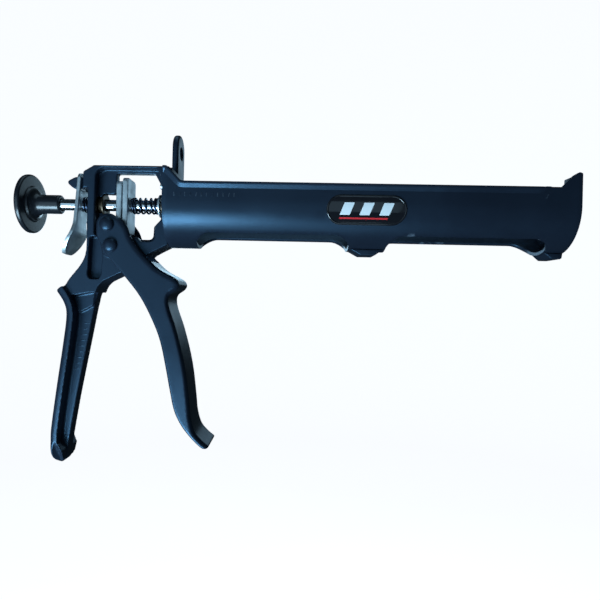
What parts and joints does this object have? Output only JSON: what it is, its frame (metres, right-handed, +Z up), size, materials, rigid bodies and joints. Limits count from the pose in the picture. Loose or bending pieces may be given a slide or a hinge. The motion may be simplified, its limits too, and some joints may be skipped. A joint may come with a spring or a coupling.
{
  "type": "caulking gun",
  "caption": "Hand-squeezed caulking gun: half-round cradle for a sealant cartridge, cast handle, squeeze trigger, thrust rod with pull knob and a sprung release lever.",
  "frame": {"origin": "centre of the piston's front face with the thrust rod fully forward, on the rod's axis", "axes": "+X along the thrust rod towards the nozzle, +Z up, away from the handle, +Y to the left seen from behind"},
  "size_m": [0.3232, 0.0538, 0.202],
  "materials": {
    "black_paint": "semi-gloss black powder paint",
    "knob_plastic": "glossy moulded black plastic",
    "badge_gloss": "glossy black label",
    "bright_steel": "bright drawn steel",
    "zinc_plate": "zinc plated, satin",
    "blued_steel": "dark blued spring steel",
    "bronze": "plain sintered bronze"
  },
  "bodies": {
    "gun": {"cradle": "black_paint", "frame": "black_paint", "badge_left": "badge_gloss", "badge_right": "badge_gloss", "front_rod_bush": "bronze", "rear_rod_bush": "bronze", "pivot_bush": "bronze", "spring_seat": "zinc_plate", "return_spring": "blued_steel", "release_spring": "blued_steel", "cradle_screw_1": "zinc_plate", "cradle_screw_2": "zinc_plate", "cradle_screw_3": "zinc_plate", "cradle_screw_4": "zinc_plate", "screw_washer_1": "zinc_plate", "screw_washer_2": "zinc_plate", "screw_washer_3": "zinc_plate", "screw_washer_4": "zinc_plate"},
    "rod": {"thrust_rod": "bright_steel", "pull_knob": "knob_plastic", "knob_pin": "bright_steel", "piston_disc": "zinc_plate", "piston_washer": "zinc_plate", "piston_nut": "zinc_plate"},
    "trigger": {"trigger": "black_paint", "pivot_rivet": "black_paint", "drive_rivet": "black_paint"},
    "drive_plates": {"drive_plate_rear": "zinc_plate", "drive_plate_front": "zinc_plate"},
    "release_lever": {"release_lever": "zinc_plate"}
  },
  "joints": [
    {"name": "rod_slide", "type": "slide", "parent": "gun", "child": "rod", "axis": [1, 0, 0], "range_m": [-0.2025, 0]},
    {"name": "trigger_pivot", "type": "hinge", "parent": "gun", "child": "trigger", "pos_m": [-0.2602, 0, -0.0259], "axis": [0, 1, 0], "range_deg": [0, 30], "stiffness_Nm_per_rad": 0.3, "springref_deg": -20.05},
    {"name": "drive_slide", "type": "slide", "parent": "gun", "child": "drive_plates", "axis": [1, 0, 0], "range_m": [0, 0.0066], "deforming": ["return_spring"]},
    {"name": "release_hinge", "type": "hinge", "parent": "gun", "child": "release_lever", "pos_m": [-0.2839, 0, 0.0128], "axis": [0, 1, 0], "range_deg": [-8, 0], "stiffness_Nm_per_rad": 0.08, "springref_deg": 14.32, "deforming": ["release_spring"]}
  ],
  "couplings": [
    {"joint": "drive_slide", "follows": "trigger_pivot", "m_per_rad": 0.01236}
  ]
}
